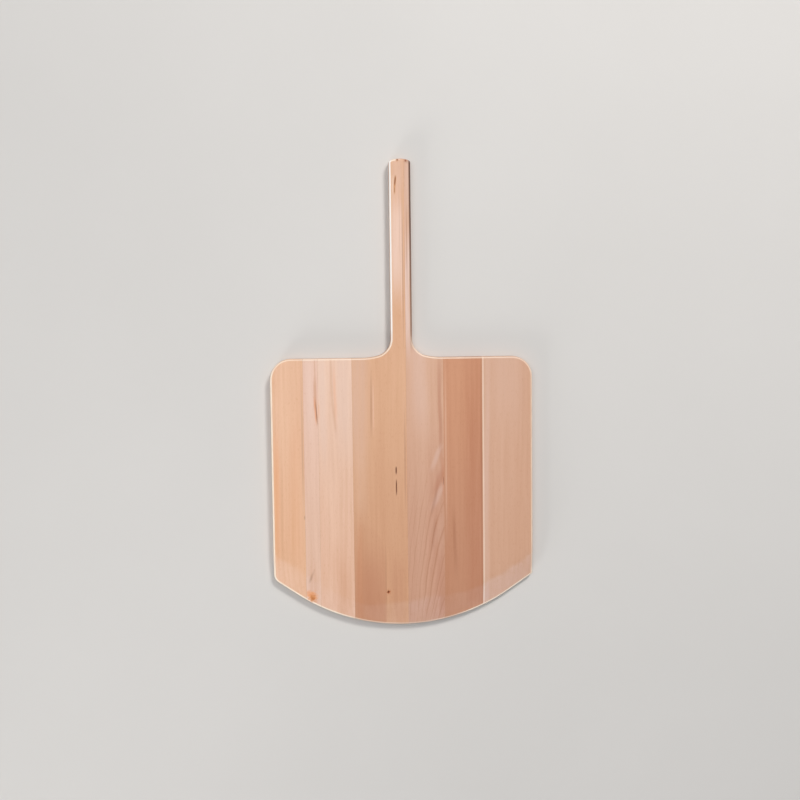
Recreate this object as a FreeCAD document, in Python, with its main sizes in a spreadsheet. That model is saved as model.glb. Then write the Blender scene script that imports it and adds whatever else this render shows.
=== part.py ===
import FreeCAD, Part

# Pizza peel: a board of seven staves glued edge to edge, with the handle sawn from the middle two.
#
# Millimetres. The peel lies flat. +X is its right, +Y runs from the front edge to the handle's
# end, and +Z is up. The origin is the bottom centre of the whole peel's box.
#
# The whole board is shaped first: sawn outline, front taper, rounded arrises. Then it is divided
# at the seams into staves and the glue lines between them, as the real boards meet in the glue-up.

import math
import os

import Sketcher
from FreeCAD import Vector

SIZES = {
    "overall_length": 634.0,
    "blade_length": 368.0,
    "blade_width": 356.0,
    "board_thickness": 15.0,
    "handle_width": 28.8,
    "handle_crown_radius": 36.0,
    "handle_corner_radius": 4.0,
    "root_radius": 24.0,
    "runout_radius": 90.0,
    "runout_reach": 54.0,
    "rear_corner_radius": 28.0,
    "front_radius": 260.0,
    "front_arc_reach": 146.0,
    "front_left_corner_radius": 14.0,
    "front_right_corner_radius": 3.0,
    "taper_width": 30.0,
    "nose_thickness": 5.0,
    "arris_radius": 2.0,
    "glue_thickness": 0.2,
    "seam_left_edge": -134.0,
    "seam_left_narrow": -114.0,
    "seam_left_inner": -68.0,
    "seam_handle": 5.5,
    "seam_right_inner": 56.0,
    "seam_right_edge": 109.0,
}

# From left to right: each stave, then the seam at its right side and the glue line on that seam.
STAVES = [
    "left_edge_stave",
    "left_narrow_stave",
    "left_inner_stave",
    "handle_left_stave",
    "handle_right_stave",
    "right_inner_stave",
    "right_edge_stave",
]
GLUE_LINES = {
    "seam_left_edge": "left_edge_glue_line",
    "seam_left_narrow": "left_narrow_glue_line",
    "seam_left_inner": "left_inner_glue_line",
    "seam_handle": "handle_glue_line",
    "seam_right_inner": "right_inner_glue_line",
    "seam_right_edge": "right_edge_glue_line",
}

START, END, CENTRE = 1, 2, 3
ORIGIN, Y_AXIS = -1, -2

# Room that a cutter or a slicing slab has past the wood.
SPARE = 10.0
# The front taper is turned about the front arc's centre, through this much of a circle.
TAPER_SWEEP = 130.0
# The pieces' volumes add up to the board's within this share of it.
VOLUME_TOLERANCE = 1e-4

doc = FreeCAD.newDocument("PizzaPeel")


def make_sheet():
    sheet = doc.addObject("Spreadsheet::Sheet", "Sizes")
    for row, (alias, value) in enumerate(SIZES.items(), start=1):
        sheet.set(f"A{row}", alias)
        sheet.set(f"B{row}", str(value))
        sheet.setAlias(f"B{row}", alias)
    doc.recompute()
    return sheet


sheet = make_sheet()


def origin_plane(body, role):
    for feature in body.Origin.OriginFeatures:
        if feature.Role == role:
            return feature
    raise RuntimeError(f"{body.Label} has no {role}")


def new_sketch(body, name, plane_role):
    sketch = body.newObject("Sketcher::SketchObject", name)
    sketch.AttachmentSupport = (origin_plane(body, plane_role), [""])
    sketch.MapMode = "FlatFace"
    return sketch


def bound(sketch, name, expression, kind, *where):
    """Add a dimension to a sketch and bind it to the sheet."""
    value = sketch.evalExpression(expression)
    index = sketch.addConstraint(Sketcher.Constraint(kind, *where, float(value)))
    sketch.renameConstraint(index, name)
    sketch.setExpression(f"Constraints.{name}", expression)


class Outline:
    """A closed line of segments in a sketch, each tangent to the next."""

    def __init__(self, sketch):
        self.sketch = sketch
        self.segments = []

    def line(self, first, last):
        index = self.sketch.addGeometry(Part.LineSegment(first, last), False)
        self.segments.append((index, START, END))
        return index

    def arc(self, centre, radius, from_degrees, to_degrees):
        """An arc of a circle. It is walked backwards where to_degrees is the smaller."""
        low, high = sorted((from_degrees, to_degrees))
        circle = Part.Circle(centre, Vector(0, 0, 1), radius)
        geometry = Part.ArcOfCircle(circle, math.radians(low), math.radians(high))
        index = self.sketch.addGeometry(geometry, False)
        backwards = to_degrees < from_degrees
        self.segments.append((index, END, START) if backwards else (index, START, END))
        return index

    def close(self):
        following = self.segments[1:] + self.segments[:1]
        for (index, _, leave), (next_index, enter, _) in zip(self.segments, following):
            joint = Sketcher.Constraint("Tangent", index, leave, next_index, enter)
            self.sketch.addConstraint(joint)


def corner_run(radius, turn_degrees):
    """Distance from a sharp corner to where its rounding starts."""
    return radius * math.tan(math.radians(turn_degrees / 2))


def draw_outline(sketch):
    """Draw the sawn outline, seen from above and walked anticlockwise from the front arc."""
    half_length = sheet.overall_length / 2
    half_width = sheet.blade_width / 2
    half_handle = sheet.handle_width / 2
    shoulder = sheet.blade_length - half_length
    radius = sheet.front_radius

    # The front edge is an arc that runs straight into both front corners.
    slope = math.degrees(math.asin(sheet.front_arc_reach / radius))
    rise = radius - radius * math.cos(math.radians(slope))
    straight_rise = (half_width - sheet.front_arc_reach) * math.tan(math.radians(slope))
    arc_end = Vector(sheet.front_arc_reach, rise - half_length)
    corner = Vector(half_width, rise + straight_rise - half_length)
    along = Vector(math.cos(math.radians(slope)), math.sin(math.radians(slope)))

    # Each root of the handle is a tight arc with a wide one easing it into the shoulder.
    root = sheet.root_radius
    runout = sheet.runout_radius
    ease = math.degrees(math.asin((sheet.runout_reach - half_handle - root) / (runout - root)))
    runout_centre = Vector(sheet.runout_reach, shoulder + runout)
    root_centre = Vector(
        half_handle + root,
        runout_centre.y - (runout - root) * math.cos(math.radians(ease)),
    )

    # The handle's end is crowned, between two small corners.
    crown = sheet.handle_crown_radius
    tip = sheet.handle_corner_radius
    spread = math.degrees(math.asin((half_handle - tip) / (crown - tip)))
    crown_centre = Vector(0, half_length - crown)
    tip_centre = Vector(
        half_handle - tip,
        crown_centre.y + (crown - tip) * math.cos(math.radians(spread)),
    )

    def mirrored(point):
        return Vector(-point.x, point.y)

    rear = sheet.rear_corner_radius
    rear_centre = Vector(half_width - rear, shoulder - rear)
    left = sheet.front_left_corner_radius
    right = sheet.front_right_corner_radius
    left_run = corner_run(left, 90 - slope)
    right_run = corner_run(right, 90 - slope)
    left_centre = Vector(left - half_width, corner.y + left_run)
    right_centre = Vector(half_width - right, corner.y + right_run)

    path = Outline(sketch)
    front = path.arc(Vector(0, radius - half_length), radius, 270 - slope, 270 + slope)
    path.line(arc_end, corner - along * right_run)
    front_right = path.arc(right_centre, right, 270 + slope, 360)
    side_right = path.line(Vector(half_width, right_centre.y), Vector(half_width, rear_centre.y))
    rear_right = path.arc(rear_centre, rear, 0, 90)
    shoulder_right = path.line(Vector(rear_centre.x, shoulder), Vector(runout_centre.x, shoulder))
    runout_right = path.arc(runout_centre, runout, 270, 270 - ease)
    root_right = path.arc(root_centre, root, 270 - ease, 180)
    grip_right = path.line(Vector(half_handle, root_centre.y), Vector(half_handle, tip_centre.y))
    tip_right = path.arc(tip_centre, tip, 0, 90 - spread)
    crown_arc = path.arc(crown_centre, crown, 90 - spread, 90 + spread)
    tip_left = path.arc(mirrored(tip_centre), tip, 90 + spread, 180)
    grip_left = path.line(Vector(-half_handle, tip_centre.y), Vector(-half_handle, root_centre.y))
    root_left = path.arc(mirrored(root_centre), root, 360, 270 + ease)
    runout_left = path.arc(mirrored(runout_centre), runout, 270 + ease, 270)
    shoulder_left = path.line(Vector(-runout_centre.x, shoulder), Vector(-rear_centre.x, shoulder))
    rear_left = path.arc(mirrored(rear_centre), rear, 90, 180)
    side_left = path.line(Vector(-half_width, rear_centre.y), Vector(-half_width, left_centre.y))
    front_left = path.arc(left_centre, left, 180, 270 - slope)
    path.line(mirrored(corner) + mirrored(along) * -left_run, mirrored(arc_end))
    path.close()

    for index in (side_right, grip_right, grip_left, side_left):
        sketch.addConstraint(Sketcher.Constraint("Vertical", index))
    for index in (shoulder_right, shoulder_left):
        sketch.addConstraint(Sketcher.Constraint("Horizontal", index))
    twins = [
        (rear_right, rear_left),
        (runout_right, runout_left),
        (root_right, root_left),
        (tip_right, tip_left),
    ]
    for one, other in twins:
        sketch.addConstraint(Sketcher.Constraint("Equal", one, other))
    symmetric_ends = [
        (side_right, END, side_left, START),
        (grip_right, START, grip_left, END),
    ]
    for ends in symmetric_ends:
        sketch.addConstraint(Sketcher.Constraint("Symmetric", *ends, Y_AXIS))
    for index in (front, crown_arc):
        sketch.addConstraint(Sketcher.Constraint("PointOnObject", index, CENTRE, Y_AXIS))

    radii = [
        ("front_arc", front, "Sizes.front_radius"),
        ("front_left_corner", front_left, "Sizes.front_left_corner_radius"),
        ("front_right_corner", front_right, "Sizes.front_right_corner_radius"),
        ("rear_corner", rear_right, "Sizes.rear_corner_radius"),
        ("root", root_right, "Sizes.root_radius"),
        ("runout", runout_right, "Sizes.runout_radius"),
        ("handle_corner", tip_right, "Sizes.handle_corner_radius"),
        ("handle_crown", crown_arc, "Sizes.handle_crown_radius"),
    ]
    for name, index, expression in radii:
        bound(sketch, name, expression, "Radius", index)
    across = [
        ("half_width", side_right, END, "Sizes.blade_width / 2"),
        ("half_handle", grip_right, START, "Sizes.handle_width / 2"),
        ("runout_start", shoulder_right, END, "Sizes.runout_reach"),
        ("front_arc_end", front, END, "Sizes.front_arc_reach"),
    ]
    for name, index, point, expression in across:
        bound(sketch, name, expression, "DistanceX", ORIGIN, START, index, point)
    bound(sketch, "front_arc_start", "Sizes.front_arc_reach",
          "DistanceX", front, START, ORIGIN, START)
    bound(sketch, "front_centre", "Sizes.overall_length / 2 - Sizes.front_radius",
          "DistanceY", front, CENTRE, ORIGIN, START)
    bound(sketch, "shoulder", "Sizes.blade_length - Sizes.overall_length / 2",
          "DistanceY", ORIGIN, START, shoulder_right, END)
    bound(sketch, "crown_centre", "Sizes.overall_length / 2 - Sizes.handle_crown_radius",
          "DistanceY", ORIGIN, START, crown_arc, CENTRE)


def draw_taper_cutters(sketch):
    """Draw the two wedges that thin the front edge, one above it and one below.

    The sketch stands across the peel's middle: its x is the peel's +Y, its y is the peel's +Z.
    """
    half = "Sizes.overall_length / 2"
    slope = "(Sizes.board_thickness - Sizes.nose_thickness) / 2 / Sizes.taper_width"
    outer = f"{half} + {SPARE}"
    inner = f"{half} - Sizes.taper_width - {SPARE}"
    deep = f"(Sizes.taper_width + {SPARE}) * {slope}"
    over = f"{SPARE} * {slope}"
    thick = "Sizes.board_thickness"
    wedges = [
        ("upper", f"{thick} - {deep}", f"{thick} + {over}"),
        ("lower", deep, f"-({over})"),
    ]
    front = -sketch.evalExpression(outer)
    back = -sketch.evalExpression(inner)
    for name, cut_height, open_height in wedges:
        cut = sketch.evalExpression(cut_height)
        opening = sketch.evalExpression(open_height)
        low_corner = Vector(front, cut)
        far_corner = Vector(back, opening)
        square_corner = Vector(front, opening)
        sloped = sketch.addGeometry(Part.LineSegment(low_corner, far_corner), False)
        level = sketch.addGeometry(Part.LineSegment(far_corner, square_corner), False)
        upright = sketch.addGeometry(Part.LineSegment(square_corner, low_corner), False)
        for one, other in ((sloped, level), (level, upright), (upright, sloped)):
            sketch.addConstraint(Sketcher.Constraint("Coincident", one, END, other, START))
        sketch.addConstraint(Sketcher.Constraint("Horizontal", level))
        sketch.addConstraint(Sketcher.Constraint("Vertical", upright))
        bound(sketch, f"{name}_front", outer, "DistanceX", sloped, START, ORIGIN, START)
        bound(sketch, f"{name}_back", inner, "DistanceX", sloped, END, ORIGIN, START)
        bound(sketch, f"{name}_cut", cut_height, "DistanceY", ORIGIN, START, sloped, START)
        bound(sketch, f"{name}_open", open_height, "DistanceY", ORIGIN, START, sloped, END)

    arc_centre = sheet.front_radius - sheet.overall_length / 2
    axis = sketch.addGeometry(
        Part.LineSegment(Vector(arc_centre, 0), Vector(arc_centre, sheet.board_thickness)), True
    )
    sketch.addConstraint(Sketcher.Constraint("Vertical", axis))
    sketch.addConstraint(Sketcher.Constraint("PointOnObject", axis, START, ORIGIN))
    bound(sketch, "axis_place", f"{half} - Sizes.front_radius",
          "DistanceX", axis, START, ORIGIN, START)
    bound(sketch, "axis_height", thick, "DistanceY", axis, START, axis, END)


def is_upright(edge):
    first, last = edge.Vertexes[0].Point, edge.Vertexes[-1].Point
    return math.hypot(first.x - last.x, first.y - last.y) < 1e-6


def is_taper_crest(edge):
    """True for the arc where the front taper starts, which isn't an outer edge."""
    crest_radius = sheet.front_radius - sheet.taper_width
    return isinstance(edge.Curve, Part.Circle) and abs(edge.Curve.Radius - crest_radius) < 1e-3


def make_board():
    """The whole glued-up board, sawn and shaped, before it is divided into its pieces."""
    body = doc.addObject("PartDesign::Body", "Board")

    outline = new_sketch(body, "BoardOutline", "XY_Plane")
    draw_outline(outline)
    doc.recompute()

    pad = body.newObject("PartDesign::Pad", "SawnBoard")
    pad.Profile = outline
    pad.setExpression("Length", "Sizes.board_thickness")
    doc.recompute()
    sawn_volume = pad.Shape.Volume

    cutters = new_sketch(body, "TaperCutters", "YZ_Plane")
    draw_taper_cutters(cutters)
    taper = body.newObject("PartDesign::Groove", "FrontTaper")
    taper.Profile = cutters
    taper.ReferenceAxis = (cutters, ["Axis0"])
    taper.Midplane = True
    taper.Angle = TAPER_SWEEP
    doc.recompute()
    if taper.Shape.Volume >= sawn_volume:
        raise RuntimeError("the front taper cut nothing")

    arrises = [
        f"Edge{number}"
        for number, edge in enumerate(taper.Shape.Edges, start=1)
        if not is_upright(edge) and not is_taper_crest(edge)
    ]
    rounding = body.newObject("PartDesign::Fillet", "RoundedArrises")
    rounding.Base = (taper, arrises)
    rounding.setExpression("Radius", "Sizes.arris_radius")
    doc.recompute()
    body.Tip = rounding
    return body


def make_slice(board, label, left, right):
    """The board's wood or glue between two places across it, given as expressions."""
    slab = doc.addObject("Part::Box", f"slab_{label}")
    slab.setExpression("Length", f"({right}) - ({left})")
    slab.setExpression("Width", f"Sizes.overall_length + 2 * {SPARE}")
    slab.setExpression("Height", f"Sizes.board_thickness + 2 * {SPARE}")
    slab.setExpression("Placement.Base.x", left)
    slab.setExpression("Placement.Base.y", f"-Sizes.overall_length / 2 - {SPARE}")
    slab.Placement.Base.z = -SPARE
    piece = doc.addObject("Part::Common", label)
    piece.Base = board
    piece.Tool = slab
    piece.Label = label
    return piece


def make_pieces(board):
    half_glue = "Sizes.glue_thickness / 2"
    pieces = []
    left = f"-Sizes.blade_width / 2 - {SPARE}"
    for stave, (seam, glue_line) in zip(STAVES, GLUE_LINES.items()):
        glue_left = f"Sizes.{seam} - {half_glue}"
        glue_right = f"Sizes.{seam} + {half_glue}"
        pieces.append(make_slice(board, stave, left, glue_left))
        pieces.append(make_slice(board, glue_line, glue_left, glue_right))
        left = glue_right
    pieces.append(make_slice(board, STAVES[-1], left, f"Sizes.blade_width / 2 + {SPARE}"))
    doc.recompute()
    return pieces


def check_document(board, pieces):
    for thing in doc.Objects:
        if "Invalid" in thing.State or "Error" in thing.State:
            raise RuntimeError(f"{thing.Label} failed: {thing.State}")
        if thing.TypeId == "Sketcher::SketchObject" and thing.DoF > 0:
            raise RuntimeError(f"{thing.Label} isn't fully constrained")
    for piece in pieces:
        shape = piece.Shape
        if shape.isNull() or not shape.isValid() or len(shape.Solids) != 1:
            raise RuntimeError(f"{piece.Label} isn't one valid solid")
    divided_volume = sum(piece.Shape.Volume for piece in pieces)
    if abs(divided_volume - board.Shape.Volume) > board.Shape.Volume * VOLUME_TOLERANCE:
        raise RuntimeError("the pieces don't add up to the board")


def write_pieces(pieces):
    os.makedirs("parts", exist_ok=True)
    for piece in pieces:
        piece.Shape.exportStep(f"parts/{piece.Label}.step")
        box = piece.Shape.optimalBoundingBox()
        print(f"{piece.Label}: {box.XLength:.1f} x {box.YLength:.1f} x {box.ZLength:.1f} mm")


board = make_board()
pieces = make_pieces(board)
check_document(board, pieces)
write_pieces(pieces)
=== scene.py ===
# The pizza peel's looks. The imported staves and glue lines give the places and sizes. The whole
# board is built here once as a fine mesh of the same form, with the marks that wood and work
# leave in it, and is then divided at the seams, so that each piece stands for its CAD node.
#
# Metres. +X is the peel's right, +Y runs from the front edge to the handle's end, +Z is up.

import math

import bmesh
import bpy
import numpy as np
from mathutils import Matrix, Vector, kdtree, noise
from mathutils.geometry import delaunay_2d_cdt


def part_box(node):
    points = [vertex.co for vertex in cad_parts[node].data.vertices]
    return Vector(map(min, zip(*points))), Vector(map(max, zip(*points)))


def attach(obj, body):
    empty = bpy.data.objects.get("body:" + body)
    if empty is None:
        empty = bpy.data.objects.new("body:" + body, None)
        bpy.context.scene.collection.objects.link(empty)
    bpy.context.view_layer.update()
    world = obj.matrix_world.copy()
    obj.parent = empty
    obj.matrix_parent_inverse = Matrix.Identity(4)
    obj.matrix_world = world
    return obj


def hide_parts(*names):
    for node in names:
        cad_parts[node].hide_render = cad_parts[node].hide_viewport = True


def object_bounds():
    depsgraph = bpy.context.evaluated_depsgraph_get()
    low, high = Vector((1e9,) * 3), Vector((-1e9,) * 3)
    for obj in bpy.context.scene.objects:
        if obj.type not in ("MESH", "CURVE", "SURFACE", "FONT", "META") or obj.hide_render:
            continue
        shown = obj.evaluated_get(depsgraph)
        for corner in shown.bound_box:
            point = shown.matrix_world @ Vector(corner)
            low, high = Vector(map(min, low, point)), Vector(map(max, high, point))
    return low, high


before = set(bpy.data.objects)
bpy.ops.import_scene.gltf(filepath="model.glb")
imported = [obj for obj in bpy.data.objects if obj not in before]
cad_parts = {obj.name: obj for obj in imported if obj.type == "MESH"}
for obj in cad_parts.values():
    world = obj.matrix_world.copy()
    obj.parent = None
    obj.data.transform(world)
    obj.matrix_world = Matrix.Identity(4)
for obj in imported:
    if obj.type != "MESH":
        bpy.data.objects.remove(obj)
CAD_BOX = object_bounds()

MM = 0.001

# ---------------------------------------------------------------- sizes

# The CAD mesh cuts its arcs a little short, so the box is rounded to the millimetre.
HALF_WIDTH = round(CAD_BOX[1].x, 3)
HALF_LENGTH = round(CAD_BOX[1].y, 3)
THICKNESS = round(CAD_BOX[1].z, 3)
MIDDLE = THICKNESS / 2
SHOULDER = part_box("right_edge_stave")[1].y

HALF_HANDLE = 14.4 * MM
HANDLE_CROWN_RADIUS = 36 * MM
HANDLE_CORNER_RADIUS = 4 * MM
ROOT_RADIUS = 24 * MM
RUNOUT_RADIUS = 90 * MM
RUNOUT_REACH = 54 * MM
REAR_CORNER_RADIUS = 28 * MM
FRONT_RADIUS = 260 * MM
FRONT_ARC_REACH = 146 * MM
FRONT_LEFT_CORNER_RADIUS = 14 * MM
FRONT_RIGHT_CORNER_RADIUS = 3 * MM
NOSE_HALF_THICKNESS = 2.5 * MM
TAPER_WIDTH = 30 * MM
FRONT_CENTRE_Y = FRONT_RADIUS - HALF_LENGTH

# The arris is rounder along the sides and the handle than at the thin nose.
ARRIS_RADIUS = 2.5 * MM
NOSE_ARRIS_SHARE = 0.8

STAVES = [
    "left_edge_stave",
    "left_narrow_stave",
    "left_inner_stave",
    "handle_left_stave",
    "handle_right_stave",
    "right_inner_stave",
    "right_edge_stave",
]
GLUE_LINES = [
    "left_edge_glue_line",
    "left_narrow_glue_line",
    "left_inner_glue_line",
    "handle_glue_line",
    "right_inner_glue_line",
    "right_edge_glue_line",
]


# ---------------------------------------------------------------- outline

def outline_arcs():
    """The sawn outline's arcs, walked anticlockwise: centre, radius, from and to in degrees.

    Straight lines join each arc to the next. An arc is walked backwards, as a hollow in the
    outline, where its second angle is the smaller.
    """
    slope = math.degrees(math.asin(FRONT_ARC_REACH / FRONT_RADIUS))
    corner_y = (
        FRONT_CENTRE_Y
        - FRONT_RADIUS * math.cos(math.radians(slope))
        + (HALF_WIDTH - FRONT_ARC_REACH) * math.tan(math.radians(slope))
    )
    corner_run = math.tan(math.radians((90 - slope) / 2))
    left = FRONT_LEFT_CORNER_RADIUS
    right = FRONT_RIGHT_CORNER_RADIUS

    inner = RUNOUT_RADIUS - ROOT_RADIUS
    ease = math.degrees(math.asin((RUNOUT_REACH - HALF_HANDLE - ROOT_RADIUS) / inner))
    runout_y = SHOULDER + RUNOUT_RADIUS
    root_x = HALF_HANDLE + ROOT_RADIUS
    root_y = runout_y - inner * math.cos(math.radians(ease))

    crown_y = HALF_LENGTH - HANDLE_CROWN_RADIUS
    tip_x = HALF_HANDLE - HANDLE_CORNER_RADIUS
    tip_reach = HANDLE_CROWN_RADIUS - HANDLE_CORNER_RADIUS
    spread = math.degrees(math.asin(tip_x / tip_reach))
    tip_y = crown_y + tip_reach * math.cos(math.radians(spread))

    rear_x = HALF_WIDTH - REAR_CORNER_RADIUS
    rear_y = SHOULDER - REAR_CORNER_RADIUS
    return [
        ((0, FRONT_CENTRE_Y), FRONT_RADIUS, 270 - slope, 270 + slope),
        ((HALF_WIDTH - right, corner_y + right * corner_run), right, 270 + slope, 360),
        ((rear_x, rear_y), REAR_CORNER_RADIUS, 0, 90),
        ((RUNOUT_REACH, runout_y), RUNOUT_RADIUS, 270, 270 - ease),
        ((root_x, root_y), ROOT_RADIUS, 270 - ease, 180),
        ((tip_x, tip_y), HANDLE_CORNER_RADIUS, 0, 90 - spread),
        ((0, crown_y), HANDLE_CROWN_RADIUS, 90 - spread, 90 + spread),
        ((-tip_x, tip_y), HANDLE_CORNER_RADIUS, 90 + spread, 180),
        ((-root_x, root_y), ROOT_RADIUS, 360, 270 + ease),
        ((-RUNOUT_REACH, runout_y), RUNOUT_RADIUS, 270 + ease, 270),
        ((-rear_x, rear_y), REAR_CORNER_RADIUS, 90, 180),
        ((left - HALF_WIDTH, corner_y + left * corner_run), left, 180, 270 - slope),
    ]


OUTLINE_STEP = 1.6 * MM
SHORTEST_ARC_STEPS = 6


def sample_outline():
    """Points round the outline and their outward normals, as two arrays."""
    points, normals = [], []
    arcs = outline_arcs()
    for (centre, radius, first, last), following in zip(arcs, arcs[1:] + arcs[:1]):
        hollow = last < first
        length = radius * math.radians(abs(last - first))
        steps = max(SHORTEST_ARC_STEPS, math.ceil(length / OUTLINE_STEP))
        for angle in np.radians(np.linspace(first, last, steps + 1)):
            outward = np.array([math.cos(angle), math.sin(angle)])
            points.append(np.array(centre) + radius * outward)
            normals.append(-outward if hollow else outward)
        next_centre, next_radius, next_first, _ = following
        angle = math.radians(next_first)
        target = np.array(next_centre) + next_radius * np.array([math.cos(angle), math.sin(angle)])
        gap = np.linalg.norm(target - points[-1])
        if gap < OUTLINE_STEP / 4:
            points.pop()
            normals.pop()
            continue
        start, normal = points[-1], normals[-1]
        steps = math.ceil(gap / OUTLINE_STEP)
        for share in np.arange(1, steps) / steps:
            points.append(start + (target - start) * share)
            normals.append(normal)
    return np.array(points), np.array(normals)


class Outline:
    """The sampled outline, which also tells how deep inside it a point lies."""

    def __init__(self):
        self.points, self.normals = sample_outline()
        self.tree = kdtree.KDTree(len(self.points))
        for index, point in enumerate(self.points):
            self.tree.insert((*point, 0), index)
        self.tree.balance()

    def depth(self, x, y):
        """Distance inside the outline, below zero outside it."""
        _, index, _ = self.tree.find((x, y, 0))
        return float(np.dot(self.points[index] - (x, y), self.normals[index]))


# ---------------------------------------------------------------- surface

# The hand-sanded taper's width along the front edge, at these places across the blade.
TAPER_PLACES = np.array([-178, -133, -60, -10, 30, 80, 133, 178]) * MM
TOP_TAPER_WIDTHS = np.array([27, 33, 26, 35, 38, 32, 29, 21]) * MM
# The crest between the flat and the taper is eased over this share of the taper's width.
CREST_EASE = 0.13
# The taper's paler wood is at its full strength from this share of its drop.
TAPER_FULL_AT = 0.22

# Each stave has cupped a little since the board was flattened, up or down at its middle.
STAVE_CUPS = np.array([0.05, -0.03, 0.06, -0.05, 0.06, -0.06, 0.05]) * MM
WAVE_HEIGHT = 0.07 * MM
WAVE_LENGTH = 75 * MM
# Waves and cups grow to their full height over this width inside the arris.
SETTLE_WIDTH = 3 * MM

# At its ends a crack, pit or dent narrows to the square root of this share of its width.
NARROWEST_SHARE = 0.15
# Cracks, pits and dents in the top face, in millimetres: place of each end, half width, depth.
DENTS = [
    ((-9.3, -115.0), (-9.2, -136.5), 0.80, 1.2),
    ((-9.4, -98.2), (-9.3, -106.6), 0.92, 1.2),
    ((-21.6, -269.2), (-21.6, -271.0), 1.50, 1.0),
    ((-122.0, -237.5), (-130.0, -252.0), 0.60, 0.10),
    ((-133.0, -164.0), (-134.6, -166.5), 0.50, 0.20),
    ((-116.9, -9.0), (-115.2, -36.0), 0.45, 0.15),
    ((55.4, -113.5), (55.6, -123.0), 0.50, 0.20),
    ((-5.5, 293.0), (-7.2, 277.0), 0.50, 0.25),
]
DENTS = [
    (np.array(first) * MM, np.array(last) * MM, half_width * MM, depth * MM)
    for first, last, half_width, depth in DENTS
]


def stave_spans():
    """Each stave's left and right side, across the peel."""
    spans = []
    for stave in STAVES:
        low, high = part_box(stave)
        spans.append((low.x, high.x))
    return spans


def taper_drop(x, y, widths):
    """How much the front taper has taken off one face."""
    radius = np.hypot(x, y - FRONT_CENTRE_Y)
    width = np.interp(x, TAPER_PLACES, widths)
    share = (radius - FRONT_RADIUS + width) / width
    share = (share + np.sqrt(share * share + CREST_EASE * CREST_EASE)) / 2
    return np.where(y < FRONT_CENTRE_Y, share, 0) * (MIDDLE - NOSE_HALF_THICKNESS)


def half_thickness(x, y, top):
    """How far the top face or the underside lies from the board's middle height."""
    widths = TOP_TAPER_WIDTHS if top else np.full(len(TAPER_PLACES), TAPER_WIDTH)
    return MIDDLE - taper_drop(x, y, widths)


def waves(x, y, side):
    """Slight unevenness left by planing and sanding."""
    values = [noise.noise(Vector((a / WAVE_LENGTH, b / WAVE_LENGTH, side))) for a, b in zip(x, y)]
    cups = np.zeros(len(x))
    for (left, right), cup in zip(stave_spans(), STAVE_CUPS):
        across = (x - left) / (right - left) * 2 - 1
        inside = np.abs(across) < 1
        cups[inside] += side * cup * (1 - across[inside] ** 2)
    return np.array(values) * WAVE_HEIGHT + cups


def dents(x, y):
    """How deep the cracks, pits and dents are at each point of the top face."""
    deepest = np.zeros(len(x))
    here = np.stack([x, y], axis=1)
    for first, last, half_width, depth in DENTS:
        along = last - first
        share = np.clip((here - first) @ along / (along @ along), 0, 1)
        nearest = first + share[:, None] * along
        away = np.linalg.norm(here - nearest, axis=1) / half_width
        closing = np.sqrt(np.clip(1 - (2 * share - 1) ** 4, NARROWEST_SHARE, 1))
        hollow = np.clip(1 - away / closing, 0, 1)
        deepest = np.maximum(deepest, depth * hollow)
    return deepest


# ---------------------------------------------------------------- board mesh

ARRIS_STEPS = 5
WALL_STEPS = 2
GRID_STEP_ACROSS = 3.0 * MM
GRID_STEP_ALONG = 4.5 * MM
# Rings of points this far inside the arris, over which its worn edge fades into the flat. A
# ring's point is left out where its true depth is under DEPTH_SHARE of the ring's.
EDGE_BANDS = [1.0 * MM, 2.4 * MM]
DEPTH_SHARE = 0.96
# The other points keep this far from the last ring, and the grid's keep clear of the dents'.
BAND_GAP = 0.8 * MM
PATCH_GAP = 1.0 * MM
DENT_STEP_ACROSS = 0.22 * MM
DENT_STEP_ALONG = 0.8 * MM
# A dent's patch of points is wider than it by this many steps on each side, and longer by this
# share of its half width at each end.
DENT_MARGIN = 3
DENT_OVERRUN = 1.5

# The triangulation keeps to the inside of the board's edge, and joins points that are nearer
# than SAME_POINT, in millimetres.
INSIDE_ONLY = 1
SAME_POINT = 1e-6
# A vertex this near to a seam lies in it.
SEAM_REACH = 1e-7


def arris_radius(x, y):
    return np.minimum(ARRIS_RADIUS, NOSE_ARRIS_SHARE * half_thickness(x, y, False))


def grid_columns():
    """Places across the board: every seam, and even steps between them."""
    columns = []
    for left, right in stave_spans():
        steps = max(2, round((right - left) / GRID_STEP_ACROSS))
        columns.extend(np.linspace(left, right, steps + 1))
    return columns


def dent_points():
    """A fine patch of points over each dent, lined up with it."""
    points = []
    for first, last, half_width, _ in DENTS:
        along = last - first
        length = np.linalg.norm(along)
        along = along / length
        across = np.array([-along[1], along[0]])
        reach = half_width + DENT_MARGIN * DENT_STEP_ACROSS
        overrun = half_width * DENT_OVERRUN
        for b in np.arange(-overrun, length + overrun, DENT_STEP_ALONG):
            for a in np.arange(-reach, reach, DENT_STEP_ACROSS):
                points.append(first + along * b + across * a)
    return points


def inner_points(outline, boundary_depth):
    """Points of the flat inside the arris, without any that crowd the arris's inner ring."""
    points = []
    for band in EDGE_BANDS:
        depth = boundary_depth + band
        ring = outline.points - outline.normals * depth
        points.extend(p for p in ring[::2] if outline.depth(*p) > depth * DEPTH_SHARE)
    inside = boundary_depth + EDGE_BANDS[-1] + BAND_GAP
    patch = dent_points()
    taken = kdtree.KDTree(len(patch))
    for index, point in enumerate(patch):
        taken.insert((*point, 0), index)
    taken.balance()
    points.extend(p for p in patch if outline.depth(*p) > inside)
    for x in grid_columns():
        for y in np.arange(-HALF_LENGTH, HALF_LENGTH, GRID_STEP_ALONG):
            if outline.depth(x, y) < inside or taken.find((x, y, 0))[2] < PATCH_GAP:
                continue
            points.append(np.array([x, y]))
    return np.array(points)


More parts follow.
